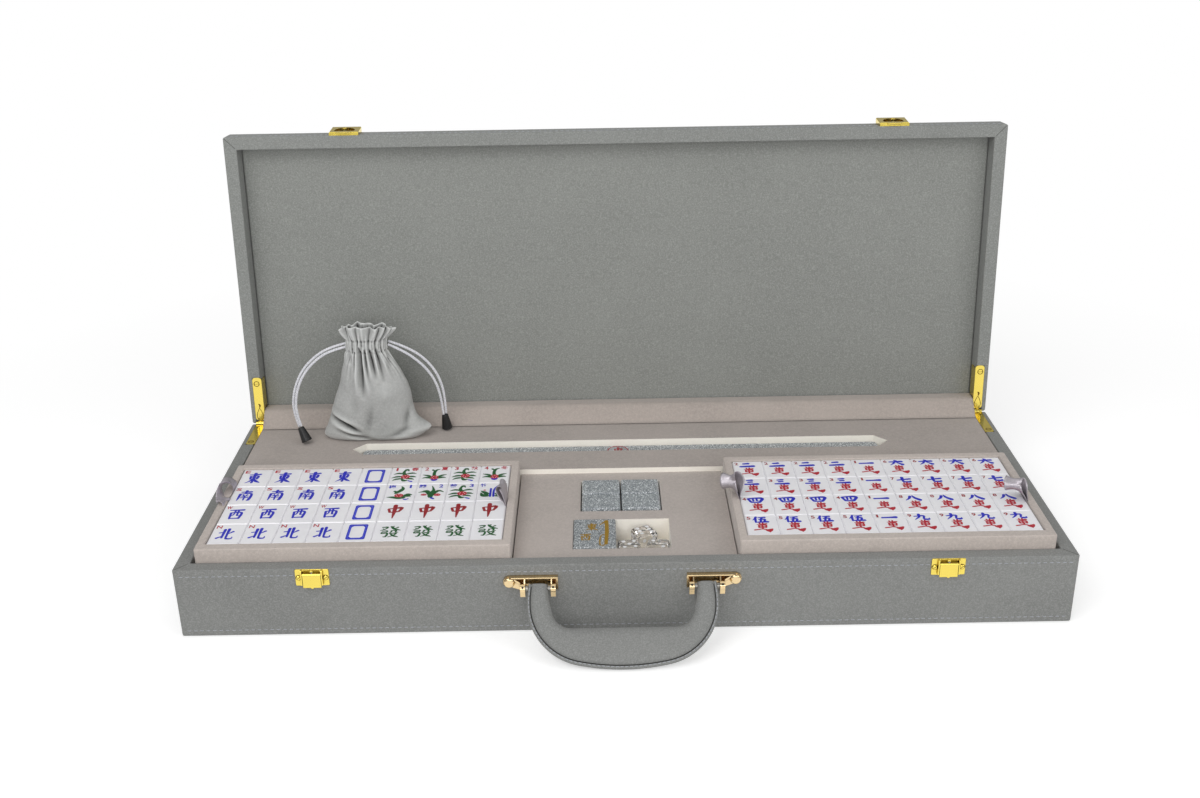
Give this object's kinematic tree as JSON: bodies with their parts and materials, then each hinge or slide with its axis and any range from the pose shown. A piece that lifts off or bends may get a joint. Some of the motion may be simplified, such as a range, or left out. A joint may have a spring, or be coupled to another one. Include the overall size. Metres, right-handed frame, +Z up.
{
  "type": "mahjong set case",
  "caption": "Open briefcase-style case holding a complete mahjong set: tiles in lift-out trays, rulers, dice, dealer marker and a drawstring pouch.",
  "frame": {"origin": "centre of the base's underside, on the table", "axes": "+X along the case's length to the right as seen from the handle side, +Y from the handle side to the hinge side, +Z up"},
  "size_m": [0.74, 0.3951, 0.3525],
  "materials": {
    "black_plastic": "black moulded plastic",
    "case_leather": "grey grained artificial leather over board",
    "champagne_gold": "satin pale gold plate",
    "clear_resin": "clear resin with white pips",
    "cord_satin": "silver satin cord",
    "foam": "cream foam",
    "glitter_resin": "silver glitter in clear resin",
    "gold": "polished gold plate",
    "grip_leather": "grey padded leather",
    "lid_suede": "grey suede lining",
    "pouch_velvet": "grey velvet",
    "satin": "silver grey satin ribbon",
    "steel": "steel",
    "tile_resin": "white resin with silver glitter backs",
    "tile_resin_plain": "white resin with silver glitter backs",
    "velvet": "warm grey flocked velvet over foam"
  },
  "bodies": {
    "base": {"base_walls": "case_leather", "base_floor": "case_leather", "base_floor_pad": "velvet", "centre_insert_block": "foam", "centre_insert_layer": "velvet", "rear_insert": "velvet", "hinge_cover_strip": "velvet", "hinge_base_leaf_left": "gold", "hinge_base_leaf_right": "gold", "hinge_base_screws": "gold", "hinge_pins": "steel", "latch_housing_left": "gold", "latch_housing_right": "gold", "latch_screws": "gold", "handle_bracket_left": "champagne_gold", "handle_bracket_right": "champagne_gold", "bracket_caps": "champagne_gold", "handle_pins": "steel"},
    "lid": {"lid_walls": "case_leather", "lid_top": "case_leather", "lid_lining_panel": "lid_suede", "hinge_lid_leaf_left": "gold", "hinge_lid_leaf_right": "gold", "hinge_lid_screws": "gold", "striker_left": "gold", "striker_right": "gold", "striker_screws": "gold"},
    "latch_flap_left": {"latch_flap_left": "gold"},
    "latch_flap_right": {"latch_flap_right": "gold"},
    "handle": {"handle_core": "grip_leather", "handle_pads": "grip_leather"},
    "tray_left_lower": {"tray_left_lower": "velvet", "tiles_left_lower": "tile_resin_plain", "pulls_left_lower": "satin"},
    "tray_left_upper": {"tray_left_upper": "velvet", "tiles_left_upper": "tile_resin", "pulls_left_upper": "satin"},
    "tray_right_lower": {"tray_right_lower": "velvet", "tiles_right_lower": "tile_resin_plain", "pulls_right_lower": "satin"},
    "tray_right_upper": {"tray_right_upper": "velvet", "tiles_right_upper": "tile_resin", "pulls_right_upper": "satin"},
    "rulers_lower": {"rulers_lower": "glitter_resin"},
    "ruler_top": {"ruler_top": "glitter_resin"},
    "spare_tiles": {"spare_tiles": "tile_resin"},
    "dealer_marker": {"dealer_marker": "glitter_resin"},
    "die_left": {"die_left": "clear_resin"},
    "die_right": {"die_right": "clear_resin"},
    "die_rear": {"die_rear": "clear_resin"},
    "pouch": {"pouch_bag": "pouch_velvet", "cord_left_front": "cord_satin", "cord_left_back": "cord_satin", "cord_right_front": "cord_satin", "cord_right_back": "cord_satin", "bell_left": "black_plastic", "bell_right": "black_plastic"}
  },
  "joints": [
    {"name": "lid_hinge", "type": "hinge", "parent": "base", "child": "lid", "pos_m": [0, 0.1433, 0.0634], "axis": [-1, 0, 0], "range_deg": [-94.8, 0], "deforming": ["hinge_cover_strip", "pulls_left_upper", "pulls_right_upper", "pouch_bag", "cord_left_front", "cord_left_back", "cord_right_front", "cord_right_back"]},
    {"name": "latch_flap_left_pivot", "type": "hinge", "parent": "base", "child": "latch_flap_left", "pos_m": [-0.256, -0.14555, 0.0586], "axis": [-1, 0, 0], "range_deg": [0, 75]},
    {"name": "latch_flap_right_pivot", "type": "hinge", "parent": "base", "child": "latch_flap_right", "pos_m": [0.263, -0.14555, 0.0586], "axis": [-1, 0, 0], "range_deg": [0, 75]},
    {"name": "handle_swing", "type": "hinge", "parent": "base", "child": "handle", "pos_m": [-0.003, -0.1505, 0.0455], "axis": [-1, 0, 0], "range_deg": [-50, 71]},
    {"name": "tray_left_lower_lift", "type": "slide", "parent": "base", "child": "tray_left_lower", "axis": [0, 0, 1], "range_m": [0, 0.07]},
    {"name": "tray_left_upper_lift", "type": "slide", "parent": "tray_left_lower", "child": "tray_left_upper", "axis": [0, 0, 1], "range_m": [0, 0.06]},
    {"name": "tray_right_lower_lift", "type": "slide", "parent": "base", "child": "tray_right_lower", "axis": [0, 0, 1], "range_m": [0, 0.07]},
    {"name": "tray_right_upper_lift", "type": "slide", "parent": "tray_right_lower", "child": "tray_right_upper", "axis": [0, 0, 1], "range_m": [0, 0.06]},
    {"name": "rulers_lower_lift", "type": "slide", "parent": "base", "child": "rulers_lower", "axis": [0, 0, 1], "range_m": [0, 0.07]},
    {"name": "ruler_top_lift", "type": "slide", "parent": "rulers_lower", "child": "ruler_top", "axis": [0, 0, 1], "range_m": [0, 0.04]},
    {"name": "spare_tiles_lift", "type": "slide", "parent": "base", "child": "spare_tiles", "axis": [0, 0, 1], "range_m": [0, 0.05]},
    {"name": "dealer_marker_lift", "type": "slide", "parent": "base", "child": "dealer_marker", "axis": [0, 0, 1], "range_m": [0, 0.05]},
    {"name": "die_left_lift", "type": "slide", "parent": "base", "child": "die_left", "axis": [0, 0, 1], "range_m": [0, 0.05]},
    {"name": "die_right_lift", "type": "slide", "parent": "base", "child": "die_right", "axis": [0, 0, 1], "range_m": [0, 0.05]},
    {"name": "die_rear_lift", "type": "slide", "parent": "base", "child": "die_rear", "axis": [0, 0, 1], "range_m": [0, 0.05]},
    {"name": "pouch_lift", "type": "slide", "parent": "base", "child": "pouch", "axis": [0, 0, 1], "range_m": [0, 0.08]}
  ]
}
